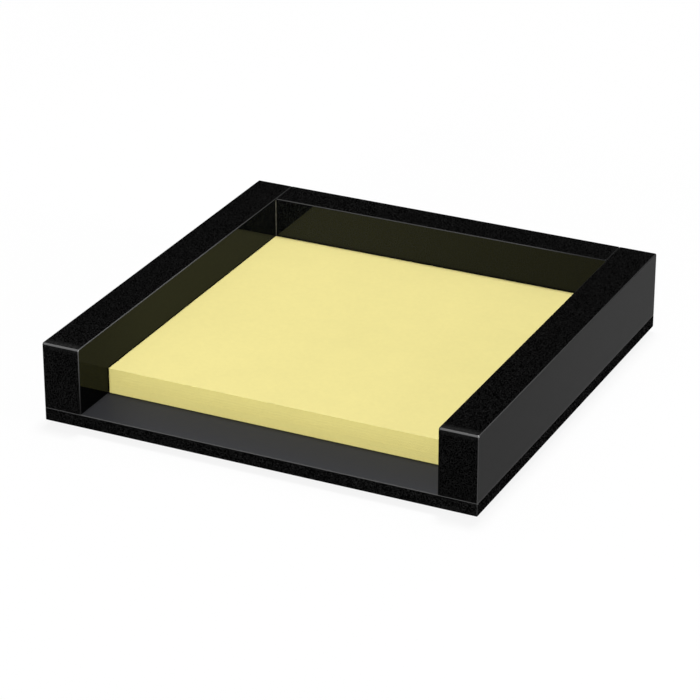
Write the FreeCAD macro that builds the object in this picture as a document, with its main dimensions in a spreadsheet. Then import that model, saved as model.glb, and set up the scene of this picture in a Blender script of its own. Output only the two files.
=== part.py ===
"""Memo pad holder: a low open-fronted tray of black acrylic with a pad of square notes in it.

Four pieces of sheet acrylic are cemented together: a base plate, two side walls that run the
whole depth, and a back wall cut to fit between them. Four rubber feet are stuck underneath.
The pad is a stack of sheets gummed along its back edge, and it stands loose on the base plate.

Frame: X to the right, Y from the open front to the back wall, Z up. The origin is on the
surface that the feet stand on, under the middle of the base plate. Sizes are in millimetres.
"""

import FreeCAD, Part
import Sketcher
import os

# Driving sizes: alias, value, meaning.
SIZES = [
    ("note_width", 90.0, "sheet of notes, left to right"),
    ("note_depth", 90.0, "sheet of notes, front to back"),
    ("sheet_thickness", 0.1, "one sheet of 80 g/m2 paper"),
    ("sheet_count", 66.0, "sheets in a full pad"),
    ("gum_thickness", 0.2, "film of gum on the pad's back edge"),
    ("note_gap", 0.2, "gap from the pad to the walls it is pushed against"),
    ("side_play", 3.8, "room left beside the pad, to take hold of it"),
    ("finger_ledge", 13.6, "base plate left bare in front of the pad"),
    ("side_wall_thickness", 10.0, "side walls, left to right"),
    ("back_wall_thickness", 10.0, "back wall, front to back"),
    ("wall_height", 17.2, "walls, above the base plate"),
    ("base_thickness", 3.5, "base plate"),
    ("end_radius", 0.6, "rounding of the rim at the front and at the back"),
    ("arris_radius", 0.3, "broken edge of cut and polished acrylic"),
    ("foot_diameter", 10.0, "rubber foot, where it is stuck on"),
    ("foot_contact_diameter", 9.0, "rubber foot, where it stands, before its rounding"),
    ("foot_height", 1.5, "rubber foot"),
    ("foot_edge_radius", 0.5, "rounding of the foot's standing edge"),
    ("foot_inset", 10.0, "foot's centre, in from both edges of the base plate"),
]

# Sizes that follow from the driving ones, as expressions.
WELL_WIDTH = "(Sizes.note_gap + Sizes.note_width + Sizes.side_play)"
WELL_DEPTH = "(Sizes.finger_ledge + Sizes.note_depth + Sizes.gum_thickness + Sizes.note_gap)"
TRAY_WIDTH = f"({WELL_WIDTH} + 2 * Sizes.side_wall_thickness)"
TRAY_DEPTH = f"({WELL_DEPTH} + Sizes.back_wall_thickness)"
BASE_TOP = "(Sizes.foot_height + Sizes.base_thickness)"
BLOCK_HEIGHT = "((Sizes.sheet_count - 1) * Sizes.sheet_thickness)"
PAD_LEFT = f"(Sizes.side_wall_thickness + Sizes.note_gap - {TRAY_WIDTH} / 2)"
PAD_FRONT = f"(Sizes.finger_ledge - {TRAY_DEPTH} / 2)"
FOOT_X = f"({TRAY_WIDTH} / 2 - Sizes.foot_inset)"
FOOT_Y = f"({TRAY_DEPTH} / 2 - Sizes.foot_inset)"

LEVEL = 1e-4  # how far from a plane a point may be and still lie on it


def make_sheet(doc):
    """The spreadsheet of driving sizes, one per row, each with its alias."""
    sheet = doc.addObject("Spreadsheet::Sheet", "Sizes")
    for row, (alias, value, meaning) in enumerate(SIZES, start=1):
        sheet.set(f"A{row}", alias)
        sheet.set(f"B{row}", str(value))
        sheet.set(f"C{row}", meaning)
        sheet.setAlias(f"B{row}", alias)
    doc.recompute()
    return sheet


def make_body(doc, label):
    """An empty body whose label is the name of the piece."""
    body = doc.addObject("PartDesign::Body", "".join(word.title() for word in label.split("_")))
    body.Label = label
    return body


def place(body, x, y, z):
    """Puts a finished body where three expressions say."""
    for axis, expression in zip("xyz", (x, y, z)):
        body.setExpression(f"Placement.Base.{axis}", expression)


def make_sketch(body, role):
    """An empty sketch on one of the body's own origin planes."""
    plane = next(f for f in body.Origin.OriginFeatures if f.Role == role)
    sketch = body.newObject("Sketcher::SketchObject", body.Name + "Sketch")
    sketch.AttachmentSupport = (plane, [""])
    sketch.MapMode = "FlatFace"
    return sketch


def drive(sketch, name, kind, where, expression):
    """A named dimension of the sketch that follows an expression."""
    index = sketch.addConstraint(Sketcher.Constraint(kind, *where, 1.0))
    sketch.renameConstraint(index, name)
    sketch.setExpression(f"Constraints.{name}", expression)


def draw_rectangle(body, role, width, height, centred=False):
    """A sketched rectangle of two driven sides, with a corner or its centre at the origin."""
    sketch = make_sketch(body, role)
    corners = [FreeCAD.Vector(x, y) for x, y in ((0, 0), (1, 0), (1, 1), (0, 1))]
    for i in range(4):
        sketch.addGeometry(Part.LineSegment(corners[i], corners[(i + 1) % 4]))
    for i in range(4):
        sketch.addConstraint(Sketcher.Constraint("Coincident", i, 2, (i + 1) % 4, 1))
        sketch.addConstraint(Sketcher.Constraint(("Horizontal", "Vertical")[i % 2], i))
    drive(sketch, "width", "DistanceX", (0, 1, 0, 2), width)
    drive(sketch, "height", "DistanceY", (1, 1, 1, 2), height)
    if centred:
        sketch.addConstraint(Sketcher.Constraint("Symmetric", 0, 1, 1, 2, -1, 1))
    else:
        sketch.addConstraint(Sketcher.Constraint("Coincident", 0, 1, -1, 1))
    return sketch


def pad(body, sketch, length):
    """The sketch made solid along its own normal."""
    feature = body.newObject("PartDesign::Pad", body.Name + "Pad")
    feature.Profile = sketch
    feature.setExpression("Length", length)
    sketch.Visibility = False
    body.Document.recompute()
    return feature


def round_edges(body, base, radius, picked):
    """Rounds those edges of a feature for which picked(edge's vertices) is true."""
    names = [
        f"Edge{i}"
        for i, edge in enumerate(base.Shape.Edges, start=1)
        if picked([vertex.Point for vertex in edge.Vertexes])
    ]
    feature = body.newObject("PartDesign::Fillet", body.Name + "Fillet")
    feature.Base = (base, names)
    feature.setExpression("Radius", f"Sizes.{radius}")
    body.Document.recompute()
    return feature


def all_at(points, axis, level):
    """True if every point has that coordinate."""
    return all(abs(getattr(point, axis) - level) < LEVEL for point in points)


def make_base_plate(doc):
    """The square plate, with all its edges broken."""
    body = make_body(doc, "base_plate")
    outline = draw_rectangle(body, "XY_Plane", TRAY_WIDTH, TRAY_DEPTH, centred=True)
    plate = pad(body, outline, "Sizes.base_thickness")
    round_edges(body, plate, "arris_radius", lambda points: True)
    place(body, "0", "0", "Sizes.foot_height")
    return body


def make_side_wall(doc, label, x):
    """A bar as long as the tray is deep. Its edges stay sharp only where it is cemented down."""
    body = make_body(doc, label)
    bar = pad(
        body,
        draw_rectangle(body, "YZ_Plane", TRAY_DEPTH, "Sizes.wall_height"),
        "Sizes.side_wall_thickness",
    )
    top = bar.Shape.BoundBox.ZMax
    thickness = bar.Shape.BoundBox.XMax

    def is_rim_end(points):
        return all_at(points, "z", top) and not all_at(points, "x", points[0].x)

    def is_long_side(points):
        on_face = all_at(points, "x", 0.0) or all_at(points, "x", thickness)
        return on_face and not all_at(points, "z", 0.0)

    rounded = round_edges(body, bar, "end_radius", is_rim_end)
    round_edges(body, rounded, "arris_radius", is_long_side)
    place(body, x, f"-{TRAY_DEPTH} / 2", BASE_TOP)
    return body


def make_back_wall(doc):
    """A bar cut to fit between the side walls, with the same rounding along its back rim."""
    body = make_body(doc, "back_wall")
    bar = pad(
        body,
        draw_rectangle(body, "YZ_Plane", "Sizes.back_wall_thickness", "Sizes.wall_height"),
        WELL_WIDTH,
    )
    box = bar.Shape.BoundBox

    def is_back_rim(points):
        return all_at(points, "z", box.ZMax) and all_at(points, "y", box.YMax)

    def is_front_rim_or_end(points):
        at_end = all_at(points, "x", 0.0) or all_at(points, "x", box.XMax)
        on_front_rim = all_at(points, "z", box.ZMax) and all_at(points, "y", 0.0)
        return on_front_rim or (at_end and not all_at(points, "z", 0.0))

    rounded = round_edges(body, bar, "end_radius", is_back_rim)
    round_edges(body, rounded, "arris_radius", is_front_rim_or_end)
    y = f"{TRAY_DEPTH} / 2 - Sizes.back_wall_thickness"
    place(body, f"-{WELL_WIDTH} / 2", y, BASE_TOP)
    return body


def make_foot(doc, label, x, y):
    """A moulded rubber foot: a flat tapered disc, turned about Z, with its standing edge rounded."""
    body = make_body(doc, label)
    sketch = make_sketch(body, "XZ_Plane")
    corners = [FreeCAD.Vector(x, y) for x, y in ((0, 0), (2, 0), (3, 1), (0, 1))]
    for i in range(4):
        sketch.addGeometry(Part.LineSegment(corners[i], corners[(i + 1) % 4]))
    for i in range(4):
        sketch.addConstraint(Sketcher.Constraint("Coincident", i, 2, (i + 1) % 4, 1))
    sketch.addConstraint(Sketcher.Constraint("Coincident", 0, 1, -1, 1))
    sketch.addConstraint(Sketcher.Constraint("Horizontal", 0))
    sketch.addConstraint(Sketcher.Constraint("Horizontal", 2))
    sketch.addConstraint(Sketcher.Constraint("Vertical", 3))
    drive(sketch, "contact_radius", "DistanceX", (0, 1, 0, 2), "Sizes.foot_contact_diameter / 2")
    drive(sketch, "radius", "DistanceX", (2, 2, 2, 1), "Sizes.foot_diameter / 2")
    drive(sketch, "height", "DistanceY", (3, 2, 3, 1), "Sizes.foot_height")
    turned = body.newObject("PartDesign::Revolution", body.Name + "Turned")
    turned.Profile = sketch
    turned.ReferenceAxis = (sketch, ["V_Axis"])
    turned.Angle = 360.0
    sketch.Visibility = False
    doc.recompute()
    round_edges(body, turned, "foot_edge_radius", lambda points: all_at(points, "z", 0.0))
    place(body, x, y, "0")
    return body


def make_paper(doc, label, depth, thickness, y, z):
    """A flat block as wide as the notes: the stack, the sheet on top of it, or its gum."""
    body = make_body(doc, label)
    outline = draw_rectangle(body, "XY_Plane", "Sizes.note_width", depth)
    pad(body, outline, thickness)
    place(body, PAD_LEFT, y, z)
    return body


def make_pieces(doc):
    """Every piece of the object, in its place."""
    pieces = [
        make_base_plate(doc),
        make_side_wall(doc, "left_wall", f"-{TRAY_WIDTH} / 2"),
        make_side_wall(doc, "right_wall", f"{TRAY_WIDTH} / 2 - Sizes.side_wall_thickness"),
        make_back_wall(doc),
        make_paper(doc, "note_block", "Sizes.note_depth", BLOCK_HEIGHT, PAD_FRONT, BASE_TOP),
        make_paper(
            doc,
            "top_sheet",
            "Sizes.note_depth",
            "Sizes.sheet_thickness",
            PAD_FRONT,
            f"{BASE_TOP} + {BLOCK_HEIGHT}",
        ),
        make_paper(
            doc,
            "gum_strip",
            "Sizes.gum_thickness",
            BLOCK_HEIGHT,
            f"{PAD_FRONT} + Sizes.note_depth",
            BASE_TOP,
        ),
    ]
    for y_name, y in (("front", f"-{FOOT_Y}"), ("back", FOOT_Y)):
        for x_name, x in (("left", f"-{FOOT_X}"), ("right", FOOT_X)):
            pieces.append(make_foot(doc, f"foot_{y_name}_{x_name}", x, y))
    return pieces


def check(doc, pieces):
    """Stops before anything is written if a feature failed or a piece is not one sound solid."""
    for item in doc.Objects:
        if "Invalid" in item.State or "Error" in item.State:
            raise RuntimeError(f"{item.Name} failed: {item.State}")
    for piece in pieces:
        shape = piece.Shape
        if shape.isNull() or not shape.isValid() or len(shape.Solids) != 1:
            raise RuntimeError(f"{piece.Label} is not one valid solid")


def main():
    doc = FreeCAD.newDocument("MemoPadHolder")
    make_sheet(doc)
    pieces = make_pieces(doc)
    doc.recompute()
    check(doc, pieces)
    os.makedirs("parts", exist_ok=True)
    for piece in pieces:
        piece.Shape.exportStep(f"parts/{piece.Label}.step")
        box = piece.Shape.BoundBox
        print(
            f"{piece.Label:17s} X {box.XMin:8.2f} {box.XMax:8.2f}   Y {box.YMin:8.2f} {box.YMax:8.2f}"
            f"   Z {box.ZMin:7.2f} {box.ZMax:7.2f}   {piece.Shape.Volume:11.2f} mm3"
        )


main()
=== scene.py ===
"""Looks of the memo pad holder: four plates of black acrylic, a pad of yellow notes, rubber feet.

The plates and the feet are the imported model's own nodes with finishes put on them. The pad is
built here sheet by sheet. All sizes are in metres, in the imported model's frame: X to the right,
Y from the open front to the back wall, Z up from the surface that the feet stand on.
"""

import math
import random

import bmesh
import bpy
from mathutils import Matrix, Vector


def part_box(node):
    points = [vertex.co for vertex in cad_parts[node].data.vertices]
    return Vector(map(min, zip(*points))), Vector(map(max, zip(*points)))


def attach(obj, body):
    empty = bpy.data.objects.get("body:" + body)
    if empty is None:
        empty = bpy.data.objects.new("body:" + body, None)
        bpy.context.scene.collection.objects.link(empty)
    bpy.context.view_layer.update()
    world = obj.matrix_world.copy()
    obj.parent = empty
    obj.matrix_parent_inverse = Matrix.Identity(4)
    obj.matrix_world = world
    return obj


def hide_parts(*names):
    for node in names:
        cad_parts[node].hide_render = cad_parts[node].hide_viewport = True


MM = 0.001
WHITE = (1.0, 1.0, 1.0, 1.0)
UP = (0.0, 0.0, 1.0)
RIGHT = (1.0, 0.0, 0.0)
LEFT = (-1.0, 0.0, 0.0)
FRONT = (0.0, -1.0, 0.0)
SHARP_ANGLE = math.radians(40)  # faces that meet at more than this keep a crisp edge

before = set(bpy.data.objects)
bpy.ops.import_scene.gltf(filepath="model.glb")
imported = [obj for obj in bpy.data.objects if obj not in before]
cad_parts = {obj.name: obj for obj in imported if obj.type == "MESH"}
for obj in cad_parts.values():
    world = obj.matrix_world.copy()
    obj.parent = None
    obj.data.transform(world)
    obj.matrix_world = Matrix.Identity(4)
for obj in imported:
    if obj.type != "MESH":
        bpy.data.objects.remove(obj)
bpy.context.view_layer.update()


# ---------------------------------------------------------------- camera

CAMERA_AZIMUTH = math.radians(25.64)
CAMERA_ELEVATION = math.radians(25.47)
CAMERA_DISTANCE = 760.2 * MM
CAMERA_LENS = 157.0  # in millimetres, as the sensor
CAMERA_SENSOR = 36.0
AIM = Vector((0.0, 0.0, 10.5 * MM))  # the middle of the holder
AIM_RIGHT = -2.27 * MM  # the camera's own shift from it, sideways
AIM_UP = -2.71 * MM  # and upwards


def make_camera():
    """A long lens that looks down over the right wall into the open front."""
    back = Vector((
        math.sin(CAMERA_AZIMUTH) * math.cos(CAMERA_ELEVATION),
        -math.cos(CAMERA_AZIMUTH) * math.cos(CAMERA_ELEVATION),
        math.sin(CAMERA_ELEVATION),
    ))
    turn = (-back).to_track_quat("-Z", "Y")
    right = turn @ Vector((1, 0, 0))
    up = turn @ Vector((0, 1, 0))
    data = bpy.data.cameras.new("camera")
    data.lens = CAMERA_LENS
    data.sensor_width = CAMERA_SENSOR
    camera = bpy.data.objects.new("camera", data)
    camera.location = AIM + back * CAMERA_DISTANCE + right * AIM_RIGHT + up * AIM_UP
    camera.rotation_mode = "QUATERNION"
    camera.rotation_quaternion = turn
    bpy.context.scene.collection.objects.link(camera)
    bpy.context.scene.camera = camera


# ---------------------------------------------------------------- node trees

def node(tree, kind, inputs=None, **settings):
    """A new node. Each input is a value, or another node's output that is linked to it."""
    made = tree.nodes.new(kind)
    for name, value in settings.items():
        setattr(made, name, value)
    for name, value in (inputs or {}).items():
        if isinstance(value, bpy.types.NodeSocket):
            tree.links.new(value, made.inputs[name])
        else:
            made.inputs[name].default_value = value
    return made


def maths(tree, operation, first, second=0.0, clamp=False):
    """The value of one arithmetic node."""
    made = node(tree, "ShaderNodeMath", {0: first, 1: second}, operation=operation, use_clamp=clamp)
    return made.outputs[0]


def ramp(tree, value, low, high, to_low=0.0, to_high=1.0):
    """A smooth step of the value, from to_low at low to to_high at high."""
    inputs = {"Value": value, 1: low, 2: high, 3: to_low, 4: to_high}
    made = node(tree, "ShaderNodeMapRange", inputs, interpolation_type="SMOOTHSTEP")
    return made.outputs[0]


def mix_colours(tree, factor, first, second):
    """The first colour where the factor is 0, the second where it is 1."""
    made = node(tree, "ShaderNodeMix", {0: factor, 6: first, 7: second}, data_type="RGBA")
    return made.outputs[2]


def mix_values(tree, factor, first, second):
    """The first value where the factor is 0, the second where it is 1."""
    made = node(tree, "ShaderNodeMix", {0: factor, 2: first, 3: second}, data_type="FLOAT")
    return made.outputs[0]


def scaled(tree, colour, factor):
    """The colour times the factor."""
    inputs = {0: colour, "Scale": factor}
    return node(tree, "ShaderNodeVectorMath", inputs, operation="SCALE").outputs[0]


def object_place(tree):
    """The place on the piece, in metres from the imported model's origin."""
    return node(tree, "ShaderNodeTexCoord").outputs["Object"]


def coordinates(tree, vector):
    """The X, Y and Z of a vector, by name."""
    return node(tree, "ShaderNodeSeparateXYZ", {0: vector}).outputs


def noise(tree, place, density, detail, roughness=0.5):
    """Cloudy values from 0 to 1 at that place, with so many clouds to the metre."""
    inputs = {"Vector": place, "Scale": density, "Detail": detail, "Roughness": roughness}
    return node(tree, "ShaderNodeTexNoise", inputs).outputs["Fac"]


def relief(tree, height, depth, strength):
    """The normals of a surface with that relief on it."""
    inputs = {"Height": height, "Distance": depth, "Strength": strength}
    return node(tree, "ShaderNodeBump", inputs).outputs["Normal"]


def new_group(name, inputs, outputs):
    """An empty shader node group with its sockets, and its input and output nodes."""
    group = bpy.data.node_groups.new(name, "ShaderNodeTree")
    for label, kind, value in inputs:
        socket = group.interface.new_socket(label, in_out="INPUT", socket_type=kind)
        socket.default_value = value
    for label, kind in outputs:
        group.interface.new_socket(label, in_out="OUTPUT", socket_type=kind)
    return group, group.nodes.new("NodeGroupInput"), group.nodes.new("NodeGroupOutput")


def place_group(tree, group, inputs):
    """The group as a node of a material, with that material's own values."""
    made = node(tree, "ShaderNodeGroup", node_tree=group)
    for name, value in inputs.items():
        if isinstance(value, bpy.types.NodeSocket):
            tree.links.new(value, made.inputs[name])
        else:
            made.inputs[name].default_value = value
    return made


def new_material(name):
    """An empty material, its node tree and its output node."""
    material = bpy.data.materials.new(name)
    material.use_nodes = True
    tree = material.node_tree
    tree.nodes.clear()
    return material, tree, tree.nodes.new("ShaderNodeOutputMaterial")


def add_shader(tree, out, inputs):
    """The one shader of a material, with these inputs."""
    shader = node(tree, "ShaderNodeBsdfPrincipled", inputs)
    tree.links.new(shader.outputs[0], out.inputs["Surface"])


# ---------------------------------------------------------------- shared effects

VALUE = "NodeSocketFloat"
VECTOR = "NodeSocketVector"

# Each pair: a normal's coordinate at which the mask begins to change, and where it has changed.
ON_FLAT = (0.965, 0.985)  # along the way that a flat face points
OFF_ARRIS = (0.90, 0.97)  # the largest one, from an arris on to a flat face
TURNED = (-0.05, -0.3)  # to the left, to the front or downwards
OFF_UPRIGHT = (0.1, 0.3)  # upwards or downwards, away from an upright arris


def facing(tree, direction):
    """1 on the flat face that points along the direction, 0 elsewhere."""
    normal = node(tree, "ShaderNodeTexCoord").outputs["Normal"]
    along = node(tree, "ShaderNodeVectorMath", {0: normal, 1: direction}, operation="DOT_PRODUCT")
    return ramp(tree, along.outputs["Value"], *ON_FLAT)


def make_face_group():
    """Tells the two big faces of a plate from its cut edges, and from the arrises that get a
    painted highlight. Those below and the upright ones at the front left get none."""
    group, given, out = new_group(
        "faces and arrises",
        [("Direction", VECTOR, UP)],
        [("Facing", VALUE), ("Backing", VALUE), ("Arris", VALUE), ("Upright", VALUE)],
    )
    direction = given.outputs["Direction"]
    sides = coordinates(group, node(group, "ShaderNodeTexCoord").outputs["Normal"])
    largest = 0.0
    for axis in "XYZ":
        largest = maths(group, "MAXIMUM", maths(group, "ABSOLUTE", sides[axis]), largest)
    left, front, below = (ramp(group, sides[axis], *TURNED) for axis in "XYZ")
    # arrises facing down, or upright at the front left, get no painted highlight
    unhighlighted = maths(group, "MAXIMUM", below, maths(group, "MULTIPLY", left, front))
    rounded = ramp(group, largest, *OFF_ARRIS, 1.0, 0.0)
    # the arrises that get the painted highlight
    polished = maths(group, "MULTIPLY", rounded, maths(group, "SUBTRACT", 1.0, unhighlighted))
    group.links.new(facing(group, direction), out.inputs["Facing"])
    group.links.new(facing(group, scaled(group, direction, -1.0)), out.inputs["Backing"])
    group.links.new(polished, out.inputs["Arris"])
    # the upright arrises, on which the painted highlight is dimmed
    rise = maths(group, "ABSOLUTE", sides["Z"])
    group.links.new(ramp(group, rise, *OFF_UPRIGHT, 1.0, 0.0), out.inputs["Upright"])
    return group


GRAIN_SIZE = 0.26 * MM
GRAIN_STRETCH = (1.0, 0.6, 1.0)  # the grain is drawn out along the saw's way, from front to back
GRAIN_TURN = (0.62, 0.41, 0.83)  # keeps flat faces off the planes where noise fades
DRIFT_DENSITY = 0.17  # of the grain's own density: wider patches, darker and lighter
DRIFT_CONTRAST = 0.8


def make_grain_group():
    """Fine irregular speckle, as a saw and a scraper leave it on an acrylic edge."""
    group, given, out = new_group(
        "saw grain",
        [("Grain Size", VALUE, GRAIN_SIZE), ("Contrast", VALUE, 1.0)],
        [("Speckle", VALUE), ("Height", VALUE)],
    )
    density = maths(group, "DIVIDE", 1.0, given.outputs["Grain Size"])
    turned = {"Vector": object_place(group), "Rotation": GRAIN_TURN, "Scale": GRAIN_STRETCH}
    place = node(group, "ShaderNodeMapping", turned).outputs["Vector"]
    fine = noise(group, place, density, 1.0, roughness=0.6)
    coarse = noise(group, place, maths(group, "MULTIPLY", density, DRIFT_DENSITY), 2.0)
    centred = maths(group, "SUBTRACT", fine, 0.5)
    spread = maths(group, "MULTIPLY", centred, given.outputs["Contrast"])
    drift = maths(group, "MULTIPLY", maths(group, "SUBTRACT", coarse, 0.5), DRIFT_CONTRAST)
    speckle = maths(group, "ADD", maths(group, "ADD", spread, drift), 1.0)
    group.links.new(maths(group, "MAXIMUM", speckle, 0.0), out.inputs["Speckle"])
    group.links.new(fine, out.inputs["Height"])
    return group


SMUDGE_AMOUNT = 0.06
SMUDGE_DENSITY = 60.0


def make_smudge_group():
    """Slow, faint changes of gloss, as wiping leaves them on a polished face."""
    group, given, out = new_group(
        "wiped gloss",
        [("Amount", VALUE, SMUDGE_AMOUNT)],
        [("Gloss", VALUE)],
    )
    patches = noise(group, object_place(group), SMUDGE_DENSITY, 4.0)
    centred = maths(group, "SUBTRACT", patches, 0.5)
    shift = maths(group, "MULTIPLY", centred, given.outputs["Amount"])
    group.links.new(shift, out.inputs["Gloss"])
    return group


# How far from the rim the painted sheen and the brighter highlight line are whole, and where they
# end
SHEEN_ON_TOP = (1.0 * MM, 3.0 * MM)
SHEEN_ON_END = (0.5 * MM, 1.8 * MM)
LINE_BRIGHTENING = (0.7 * MM, 0.9 * MM)
END_SHEEN = 0.4  # of the painted sheen on the top


def make_painted_rim_group():
    """A painted sheen on both sides of a wall's front rim, fading inwards, and a brighter painted
    highlight line along the rim.
    """
    group, given, out = new_group(
        "painted rim sheen",
        [("Front", VALUE, 0.0), ("Top", VALUE, 0.0), ("Brighter", VALUE, 1.5)],
        [("Sheen", VALUE), ("Line", VALUE)],
    )
    place = coordinates(group, object_place(group))
    inwards = maths(group, "SUBTRACT", place["Y"], given.outputs["Front"])
    below = maths(group, "SUBTRACT", given.outputs["Top"], place["Z"])
    top_share = ramp(group, inwards, *SHEEN_ON_TOP, 1.0, 0.0)
    end_share = ramp(group, below, *SHEEN_ON_END, END_SHEEN, 0.0)
    on_top = maths(group, "MULTIPLY", facing(group, UP), top_share)
    on_end = maths(group, "MULTIPLY", facing(group, FRONT), end_share)
    upper = ramp(group, maths(group, "MAXIMUM", below, inwards), *LINE_BRIGHTENING, 1.0, 0.0)
    group.links.new(maths(group, "ADD", on_top, on_end), out.inputs["Sheen"])
    group.links.new(mix_values(group, upper, 1.0, given.outputs["Brighter"]), out.inputs["Line"])
    return group


FACES = make_face_group()
GRAIN = make_grain_group()
SMUDGE = make_smudge_group()
RIM = make_painted_rim_group()


# ---------------------------------------------------------------- black acrylic

CUT_BLACK = (0.0033, 0.0033, 0.0033)
TOP_PAINTED_LIGHT = 1.15  # painted light: a cut edge on top is that much paler than an upright one
SATIN_BLACK = (0.053, 0.053, 0.053)
MIRROR_BLACK = (0.0255, 0.0281, 0.0294)
# painted highlight: arrises are coloured paler than the acrylic, for the light lines along them;
# their gloss is real
ARRIS_PAINTED_HIGHLIGHT = (0.075, 0.075, 0.075)
# painted sheen: a paler colour on the top and end just behind each side wall's front rim
RIM_PAINTED_SHEEN = (0.0105, 0.0105, 0.0105)

CUT_ROUGHNESS = 0.6
SATIN_ROUGHNESS = 0.32
MIRROR_ROUGHNESS = 0.03
ARRIS_ROUGHNESS = 0.25
ARRIS_METALLIC = 0.5
GRAIN_DEPTH = 0.05 * MM
GRAIN_RELIEF = 0.25


def even(strength):
    """A fade that is no fade: the same strength all along."""
    return ("X", 0.0, 1.0, strength, strength)


EVEN = even(1.0)


def make_acrylic(
    name,
    polished=None,
    mirror=0.9,
    mirror_painted_fade=EVEN,
    haze_fade=EVEN,
    satin=0.5,
    satin_level_and_shade=EVEN,
    satin_tint=(1.0, 1.0, 1.0),
    cut_level_and_shade=EVEN,
    grain_fade=even(12.0),
    arris_highlight_fade=EVEN,
    upright_highlight_fade=EVEN,
    rim=None,
):
    """Black acrylic sheet. The polished big face is a weak mirror, the other one is satin, and the
    cut edges are matt with a fine grain. Without a polished face both big faces are satin.
    The mirror and satin numbers say how much of the light such a face reflects without scattering
    it. A fade is an axis, two places on it, and the strength at each of them. The fades paint shade
    on the satin faces and cut edges, and grade the reflection and the arrises' painted highlight.
    Arrises are coloured paler as a painted highlight, and a cut edge on top is painted paler.
    The rim is where a wall's front and top are, and how much brighter its painted highlight line
    is there; near it a painted sheen is added."""
    material, tree, out = new_material(name)
    faces = place_group(tree, FACES, {"Direction": polished or UP})
    place = coordinates(tree, object_place(tree))

    def strength(fade):
        return ramp(tree, place[fade[0]], *fade[1:])

    grain = place_group(tree, GRAIN, {"Grain Size": GRAIN_SIZE, "Contrast": strength(grain_fade)})
    smudge = place_group(tree, SMUDGE, {"Amount": SMUDGE_AMOUNT})

    arris = faces.outputs["Arris"]
    satin_mask = faces.outputs["Backing"]
    mirror_mask = faces.outputs["Facing"]
    if not polished:
        satin_mask = maths(tree, "MAXIMUM", mirror_mask, satin_mask)
        mirror_mask = 0.0

    # painted light: cut edges on top are paler
    top = mix_values(tree, facing(tree, UP), 1.0, TOP_PAINTED_LIGHT)
    # the cut edges' level, scaled along the plate, which paints shade on them
    cut = maths(tree, "MULTIPLY", strength(cut_level_and_shade), top)
    colour = scaled(tree, CUT_BLACK, maths(tree, "MULTIPLY", grain.outputs["Speckle"], cut))
    # painted highlight on the arrises, dimmed on upright ones and graded along the plate
    arris_highlight = mix_values(tree, faces.outputs["Upright"], 1.0, strength(upright_highlight_fade))
    arris_highlight = maths(tree, "MULTIPLY", strength(arris_highlight_fade), arris_highlight)
    # painted sheen near the front rim, and the painted highlight line made brighter there
    if rim:
        sheen = place_group(tree, RIM, {"Front": rim[0], "Top": rim[1], "Brighter": rim[2]})
        added = scaled(tree, RIM_PAINTED_SHEEN, sheen.outputs["Sheen"])
        colour = node(tree, "ShaderNodeVectorMath", {0: colour, 1: added}).outputs[0]
        arris_highlight = maths(tree, "MULTIPLY", arris_highlight, sheen.outputs["Line"])
    satin_black = [level * share for level, share in zip(SATIN_BLACK, satin_tint)]
    # the satin colour is scaled along the plate, which paints shade on it
    satin_black = scaled(tree, satin_black, strength(satin_level_and_shade))
    # reflectivity scaled along the plate, which paints the reflection brighter or dimmer
    mirror_black = scaled(tree, MIRROR_BLACK, strength(mirror_painted_fade))
    colour = mix_colours(tree, satin_mask, colour, satin_black)
    colour = mix_colours(tree, mirror_mask, colour, mirror_black)
    # the arrises take the painted highlight colour
    colour = mix_colours(tree, arris, colour, scaled(tree, ARRIS_PAINTED_HIGHLIGHT, arris_highlight))

    haze = maths(tree, "MULTIPLY", strength(haze_fade), 1.0 - mirror)
    scattered = maths(tree, "MULTIPLY", grain.outputs["Speckle"], haze)
    mirrored = maths(tree, "SUBTRACT", 1.0, scattered, clamp=True)
    metallic = mix_values(tree, satin_mask, 0.0, satin)
    metallic = mix_values(tree, mirror_mask, metallic, mirrored)
    metallic = mix_values(tree, arris, metallic, ARRIS_METALLIC)

    roughness = mix_values(tree, satin_mask, CUT_ROUGHNESS, SATIN_ROUGHNESS)
    roughness = mix_values(tree, mirror_mask, roughness, MIRROR_ROUGHNESS)
    roughness = mix_values(tree, arris, roughness, ARRIS_ROUGHNESS)
    roughness = maths(tree, "ADD", roughness, smudge.outputs["Gloss"], clamp=True)

    smooth = maths(tree, "MAXIMUM", maths(tree, "MAXIMUM", satin_mask, mirror_mask), arris)
    rough = maths(tree, "SUBTRACT", 1.0, smooth, clamp=True)
    height = maths(tree, "MULTIPLY", grain.outputs["Height"], rough)
    add_shader(tree, out, {
        "Base Color": colour,
        "Metallic": metallic,
        "Roughness": roughness,
        "Normal": relief(tree, height, GRAIN_DEPTH, GRAIN_RELIEF),
        "Specular IOR Level": 0.0,
        "Specular Tint": (0.5, 0.5, 0.5, 1.0),
    })
    return material


# ---------------------------------------------------------------- paper, gum and rubber

PAPER_YELLOW = (0.865, 0.770, 0.312, 1.0)
PAPER_EDGE = (0.899, 0.803, 0.295, 1.0)
FIBRE_DENSITY = 900.0
CLOUD_DENSITY = 120.0

GLUE_THIN = (0.80, 0.70, 0.33, 1.0)
GLUE_THICK = (0.88, 0.83, 0.56, 1.0)
STREAK_DENSITY = 260.0

RUBBER_BLACK = (0.011, 0.011, 0.011, 1.0)
RUBBER_BLOOM = (0.022, 0.021, 0.020, 1.0)
PORE_DENSITY = 3500.0
BLOOM_DENSITY = 400.0


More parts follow.
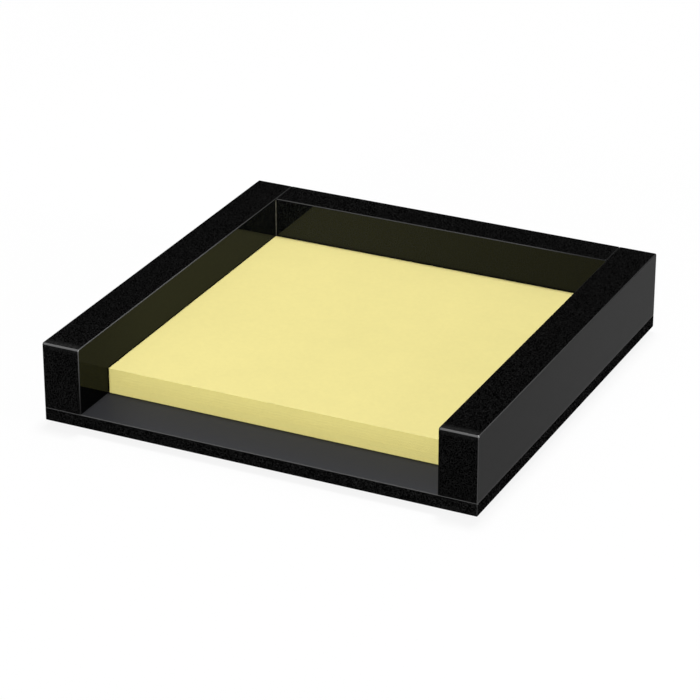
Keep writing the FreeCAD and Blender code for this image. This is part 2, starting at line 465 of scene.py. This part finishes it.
def make_paper():
    """Uncoated yellow paper, with its faint cloudy fibre, and a little deeper on its cut edges."""
    material, tree, out = new_material("note paper")
    place = object_place(tree)
    fibre = noise(tree, place, FIBRE_DENSITY, 3.0)
    cloud = noise(tree, place, CLOUD_DENSITY, 2.0)
    fine_shade = ramp(tree, fibre, 0.2, 0.8, -0.012, 0.012)
    slow_shade = ramp(tree, cloud, 0.2, 0.8, 0.99, 1.01)
    yellow = mix_colours(tree, facing(tree, UP), PAPER_EDGE, PAPER_YELLOW)
    add_shader(tree, out, {
        "Base Color": scaled(tree, yellow, maths(tree, "ADD", fine_shade, slow_shade)),
        "Roughness": ramp(tree, cloud, 0.0, 1.0, 0.82, 0.92),
        "Specular IOR Level": 0.03,
        "Normal": relief(tree, fibre, 0.02 * MM, 0.15),
    })
    return material


def make_gum():
    """Dried padding glue: a pale waxy film, thicker in some places than in others."""
    material, tree, out = new_material("padding glue")
    streaks = noise(tree, object_place(tree), STREAK_DENSITY, 3.0)
    add_shader(tree, out, {
        "Base Color": mix_colours(tree, ramp(tree, streaks, 0.3, 0.7), GLUE_THIN, GLUE_THICK),
        "Roughness": ramp(tree, streaks, 0.2, 0.8, 0.3, 0.5),
        "Specular IOR Level": 0.3,
        "Normal": relief(tree, streaks, 0.1 * MM, 0.4),
    })
    return material


def make_rubber():
    """Black moulded rubber, matt, with a fine bloom and dust on it."""
    material, tree, out = new_material("foot rubber")
    place = object_place(tree)
    pores = noise(tree, place, PORE_DENSITY, 2.0)
    bloom = noise(tree, place, BLOOM_DENSITY, 3.0)
    add_shader(tree, out, {
        "Base Color": mix_colours(tree, ramp(tree, bloom, 0.35, 0.75), RUBBER_BLACK, RUBBER_BLOOM),
        "Roughness": ramp(tree, bloom, 0.2, 0.8, 0.7, 0.85),
        "Specular IOR Level": 0.2,
        "Normal": relief(tree, pores, 0.05 * MM, 0.3),
    })
    return material


# ---------------------------------------------------------------- the plates and the feet

def dress(name, material):
    """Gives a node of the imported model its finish."""
    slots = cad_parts[name].data.materials
    slots.clear()
    slots.append(material)


def dress_holder():
    """Each plate gets its own acrylic, because each has its polished side somewhere else, and its
    own painted shade, sheen, highlights and reflection grading.
    """
    low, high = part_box("right_wall")
    back_low, back_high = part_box("back_wall")
    side = {
        "mirror": 0.86,
        # painted reflection: the inner face reflects more from the front edge to 40 mm back
        "mirror_painted_fade": ("Y", low.y, low.y + 40 * MM, 0.88, 1.22),
        "haze_fade": ("Y", 0.0, high.y, 0.25, 1.0),
        # painted shade: the outer face darker towards the front
        "satin_level_and_shade": ("Y", low.y, high.y, 0.63, 0.79),
    }
    left = {
        # painted highlight on the arrises: brighter at the front, dimmed low on the upright ones
        "arris_highlight_fade": ("Y", -5 * MM, 45 * MM, 1.27, 0.42),
        "upright_highlight_fade": ("Z", low.z, high.z, 0.15, 0.8),
        # the front rim: painted sheen, and a brighter painted highlight line
        "rim": (low.y, high.z, 1.32),
        "cut_level_and_shade": even(1.02),
        "grain_fade": ("Y", low.y, low.y + 25 * MM, 14.0, 8.5),
    }
    right = {
        # painted shade: the cut edges darker towards the front
        "cut_level_and_shade": ("Y", -20 * MM, high.y, 0.90, 1.02),
        "grain_fade": ("Y", low.y, high.y, 13.0, 7.5),
        # painted highlight on the arrises, dimmer towards the back and on the upright ones
        "arris_highlight_fade": ("Y", low.y, high.y, 0.9, 0.5),
        "upright_highlight_fade": even(0.75),
        # the front rim: painted sheen, and a brighter painted highlight line
        "rim": (low.y, high.z, 1.75),
    }
    back = {
        "mirror": 0.87,
        # painted reflection: the inner face reflects less towards the right
        "mirror_painted_fade": ("X", back_low.x, back_high.x, 0.94, 0.60),
        # painted shade: the cut edges darker on the left half, paler towards the right end
        "cut_level_and_shade": ("X", 0.0, back_high.x, 0.92, 1.08),
        "grain_fade": ("X", back_low.x, back_high.x, 15.0, 8.0),
        # painted highlight on the arrises, dimmer towards the right
        "arris_highlight_fade": ("X", 25 * MM, back_high.x, 0.76, 0.26),
    }
    base = {
        "satin": 0.28,
        # painted shade: the ledge darker next to the left wall
        "satin_level_and_shade": ("X", -47 * MM, -32 * MM, 0.72, 0.90),
        "satin_tint": (1.0, 1.02, 1.12),
        # painted shade: the cut edges a little paler towards the right
        "cut_level_and_shade": ("X", 0.0, 55 * MM, 0.60, 0.66),
        "grain_fade": even(38.0),
        # painted highlight on the arrises, a little brighter at the back, faint on upright ones
        "arris_highlight_fade": ("Y", low.y, high.y, 1.12, 1.25),
        "upright_highlight_fade": even(0.3),
    }
    dress("base_plate", make_acrylic("base acrylic", **base))
    dress("left_wall", make_acrylic("left wall acrylic", RIGHT, **side, **left))
    dress("right_wall", make_acrylic("right wall acrylic", LEFT, **side, **right))
    dress("back_wall", make_acrylic("back wall acrylic", FRONT, **back))
    rubber = make_rubber()
    for name in ("foot_front_left", "foot_front_right", "foot_back_left", "foot_back_right"):
        dress(name, rubber)


# ---------------------------------------------------------------- cement beads

def add_piece(name, mesh_builder, material, body, replaced=None):
    """A new piece from a bmesh, riding on a body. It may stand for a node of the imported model."""
    built = bmesh.new()
    mesh_builder(built)
    mesh = bpy.data.meshes.new(name)
    built.to_mesh(mesh)
    built.free()
    mesh.materials.append(material)
    piece = bpy.data.objects.new(name, mesh)
    bpy.context.scene.collection.objects.link(piece)
    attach(piece, body)
    if replaced:
        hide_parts(replaced)
    return piece


BEAD_RADIUS = 0.2 * MM
BEAD_STEPS = 6  # flats across its hollow
CEMENT_DARK = (0.05, 0.05, 0.05, 1.0)
CEMENT_PALE = (0.07, 0.07, 0.07, 1.0)
RIPPLE_DENSITY = 700.0


def smooth_piece(piece):
    """Rounded shading, apart from the piece's crisp edges."""
    piece.data.shade_smooth()
    piece.data.set_sharp_from_angle(angle=SHARP_ANGLE)


def make_cement():
    """Hardened clear cement over black acrylic: glossy, with small ripples along its length."""
    material, tree, out = new_material("acrylic cement")
    ripples = noise(tree, object_place(tree), RIPPLE_DENSITY, 2.0)
    add_shader(tree, out, {
        "Base Color": mix_colours(tree, ramp(tree, ripples, 0.3, 0.7), CEMENT_DARK, CEMENT_PALE),
        "Roughness": ramp(tree, ripples, 0.2, 0.8, 0.2, 0.35),
        "Specular IOR Level": 0.5,
        "Normal": relief(tree, ripples, 0.05 * MM, 0.3),
    })
    return material


def build_beads(built):
    """A hollow fillet of cement up each inner corner, where the back wall meets a side wall."""
    low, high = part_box("back_wall")
    rim = high.z - 2 * BEAD_RADIUS
    for corner_x, inwards in ((low.x, 1.0), (high.x, -1.0)):
        outline = [(corner_x, low.y)]
        for step in range(BEAD_STEPS + 1):
            turn = step / BEAD_STEPS * math.pi / 2
            reach_x = BEAD_RADIUS * (1.0 - math.sin(turn))
            reach_y = BEAD_RADIUS * (1.0 - math.cos(turn))
            outline.append((corner_x + inwards * reach_x, low.y - reach_y))
        face = built.faces.new([built.verts.new((x, y, low.z)) for x, y in outline])
        grown = bmesh.ops.extrude_face_region(built, geom=[face])
        raised = [item for item in grown["geom"] if isinstance(item, bmesh.types.BMVert)]
        bmesh.ops.translate(built, verts=raised, vec=(0, 0, rim - low.z))
    bmesh.ops.recalc_face_normals(built, faces=built.faces)


def make_beads():
    """The beads as one piece of the holder."""
    smooth_piece(add_piece("cement_beads", build_beads, make_cement(), "holder"))


# ---------------------------------------------------------------- the pad

SHEET_THICKNESS = 0.1 * MM
SHEET_SHARE = 0.93  # of its thickness is paper, and the rest is air to the next sheet
STACK_STRAY = 0.05 * MM
TOP_CELLS = 30  # each way over the top sheet
TOP_PAPER = 0.08 * MM
WAVE_COUNT = 4
WAVE_HEIGHT = 0.01 * MM
GLUE_CUTS_ALONG = 59
GLUE_CUTS_UP = 5
GLUE_HOLLOW = 0.12  # in millimetres, the most that the film is thinner in places
SLIVER = 0.01 * MM


def block(low, high):
    """The matrix that makes a unit cube fill the box from low to high."""
    size = high - low
    return Matrix.Translation((low + high) / 2) @ Matrix.Diagonal((*size, 1.0))


def build_stack(built):
    """The sheets below the top one. Each strays a little, except where the glue holds it."""
    low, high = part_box("note_block")
    chance = random.Random(7)
    count = round((high.z - low.z) / SHEET_THICKNESS)
    for i in range(count):
        bottom = low.z + i * SHEET_THICKNESS
        sheet_low = Vector((
            low.x + chance.uniform(0, STACK_STRAY),
            low.y + chance.uniform(0, STACK_STRAY),
            bottom,
        ))
        sheet_high = Vector((
            high.x - chance.uniform(0, STACK_STRAY),
            high.y,
            bottom + SHEET_SHARE * SHEET_THICKNESS,
        ))
        bmesh.ops.create_cube(built, size=1.0, matrix=block(sheet_low, sheet_high))


def build_top_sheet(built):
    """The top sheet, whole and very slightly wavy."""
    low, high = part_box("top_sheet")
    chance = random.Random(3)
    middle = (low + high) / 2
    grid = bmesh.ops.create_grid(built, x_segments=TOP_CELLS, y_segments=TOP_CELLS, size=0.5)
    size = high - low
    stretch = Matrix.Diagonal((size.x, size.y, 1.0, 1.0))
    place = Matrix.Translation((middle.x, middle.y, low.z)) @ stretch
    bmesh.ops.transform(built, matrix=place, verts=grid["verts"])
    waves = []
    for _ in range(WAVE_COUNT):
        density = chance.uniform(40, 110)
        turn = chance.uniform(0, 2 * math.pi)
        waves.append((density, turn, chance.uniform(0, 2 * math.pi)))
    for corner in built.verts:
        lift = 0.0
        for density, turn, phase in waves:
            across = corner.co.x * math.cos(turn) + corner.co.y * math.sin(turn)
            lift += math.sin(across * density + phase)
        corner.co.z += WAVE_HEIGHT * (1.0 + lift / len(waves))
    skin = bmesh.ops.extrude_face_region(built, geom=built.faces[:])
    raised = [item for item in skin["geom"] if isinstance(item, bmesh.types.BMVert)]
    bmesh.ops.translate(built, verts=raised, vec=(0, 0, TOP_PAPER))
    bmesh.ops.recalc_face_normals(built, faces=built.faces)


def build_gum(built):
    """The film of glue along the back edge, uneven where the brush left more of it."""
    low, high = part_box("gum_strip")
    chance = random.Random(11)
    bmesh.ops.create_cube(built, size=1.0, matrix=block(low, high))
    for axis, cuts in ((0, GLUE_CUTS_ALONG), (2, GLUE_CUTS_UP)):
        edges = [e for e in built.edges if abs(e.verts[0].co[axis] - e.verts[1].co[axis]) > 1 * MM]
        bmesh.ops.subdivide_edges(built, edges=edges, cuts=cuts, use_grid_fill=True)
    for corner in built.verts:
        if corner.co.y > high.y - SLIVER:
            corner.co.y -= chance.uniform(0.0, GLUE_HOLLOW) * MM
    outer = [corner for corner in built.verts if corner.co.y > low.y + SLIVER]
    bmesh.ops.smooth_vert(built, verts=outer, factor=0.4, use_axis_y=True)


def make_pad():
    """The stack, its top sheet and its glue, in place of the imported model's plain blocks."""
    paper = make_paper()
    add_piece("note_stack", build_stack, paper, "note_pad", "note_block")
    top = add_piece("top_note", build_top_sheet, paper, "top_sheet", "top_sheet")
    gum = add_piece("gum_film", build_gum, make_gum(), "note_pad", "gum_strip")
    smooth_piece(top)
    smooth_piece(gum)


# ---------------------------------------------------------------- floor and light

SKY_STRENGTH = 0.162
SOFTBOX_SIZE = 0.25
SOFTBOXES = {
    "top_light": ((0.0, 0.13, 1.29), 12.15),
    "front_light": ((0.0, -1.28, 0.2), 9.55),
    "right_light": ((1.28, 0.0, 0.15), 7.4),
    "upper_right_light": ((1.2, 0.0, 0.45), 1.6),
    "left_light": ((-1.28, 0.0, 0.15), 4.0),
    "back_light": ((0.0, 1.28, 0.15), 4.0),
}  # the place of each, in metres, and its power in watts

FLOOR_SIZE = 4.0  # from its middle to each side
FLOOR_DROP = 0.02 * MM  # below the feet, so that no faces coincide
FLOOR_WHITE = 0.93  # its colour where it is seen
FLOOR_BOUNCE = 0.60  # and where it lights the holder
FLOOR_GLOW = 0.88  # the share of its white near the holder that is its own and takes no shadow
GLOW_REACH = (0.3, 1.2)  # between these distances that share grows to the whole


def seen_directly(tree):
    """1 for rays that show the background: from the camera, in a mirror, or through glass."""
    path = node(tree, "ShaderNodeLightPath")
    seen = maths(tree, "ADD", path.outputs["Is Camera Ray"], path.outputs["Is Glossy Ray"])
    return maths(tree, "ADD", seen, path.outputs["Is Transmission Ray"], clamp=True)


def make_floor():
    """A wide white floor. Most of its white is its own, so that a pale shadow shows on it.
    From below it is clear, so that the feet and the underside can be seen."""
    material, tree, out = new_material("white floor")
    seen = seen_directly(tree)
    shade = mix_values(tree, seen, FLOOR_BOUNCE, FLOOR_WHITE)
    lit = node(tree, "ShaderNodeBsdfDiffuse", {"Color": shade})
    glow = node(tree, "ShaderNodeEmission", {"Color": WHITE, "Strength": 1.0})
    distance = node(tree, "ShaderNodeVectorMath", {0: object_place(tree)}, operation="LENGTH")
    own = ramp(tree, distance.outputs["Value"], *GLOW_REACH, FLOOR_GLOW, 1.0)
    share = maths(tree, "MULTIPLY", seen, own)
    mixed = node(tree, "ShaderNodeMixShader", {0: share, 1: lit.outputs[0], 2: glow.outputs[0]})
    below = node(tree, "ShaderNodeNewGeometry").outputs["Backfacing"]
    clear = node(tree, "ShaderNodeBsdfTransparent")
    sided = node(tree, "ShaderNodeMixShader", {0: below, 1: mixed.outputs[0], 2: clear.outputs[0]})
    tree.links.new(sided.outputs[0], out.inputs["Surface"])
    built = bmesh.new()
    bmesh.ops.create_grid(built, x_segments=1, y_segments=1, size=FLOOR_SIZE)
    bmesh.ops.translate(built, verts=built.verts, vec=(0, 0, -FLOOR_DROP))
    mesh = bpy.data.meshes.new("floor")
    built.to_mesh(mesh)
    built.free()
    mesh.materials.append(material)
    floor = bpy.data.objects.new("floor", mesh)
    bpy.context.scene.collection.objects.link(floor)


def make_sky():
    """White all round where it is seen, and a dimmer white where it lights."""
    world = bpy.data.worlds.new("studio")
    bpy.context.scene.world = world
    world.use_nodes = True
    tree = world.node_tree
    tree.nodes.clear()
    strength = mix_values(tree, seen_directly(tree), SKY_STRENGTH, 1.0)
    background = node(tree, "ShaderNodeBackground", {"Color": WHITE, "Strength": strength})
    out = tree.nodes.new("ShaderNodeOutputWorld")
    tree.links.new(background.outputs[0], out.inputs["Surface"])


def add_softbox(name, place, power):
    """A square area light at that place, turned to the middle of the holder."""
    data = bpy.data.lights.new(name, "AREA")
    data.shape = "SQUARE"
    data.size = SOFTBOX_SIZE
    data.energy = power
    lamp = bpy.data.objects.new(name, data)
    lamp.location = place
    lamp.rotation_mode = "QUATERNION"
    lamp.rotation_quaternion = (AIM - Vector(place)).to_track_quat("-Z", "Y")
    bpy.context.scene.collection.objects.link(lamp)


def make_light():
    """The white surroundings, and soft lamps above and on all sides."""
    make_sky()
    for name, (place, power) in SOFTBOXES.items():
        add_softbox(name, place, power)


# ---------------------------------------------------------------- all of it

make_camera()
dress_holder()
make_beads()
make_pad()
make_floor()
make_light()

bpy.context.scene.view_settings.view_transform = "Standard"
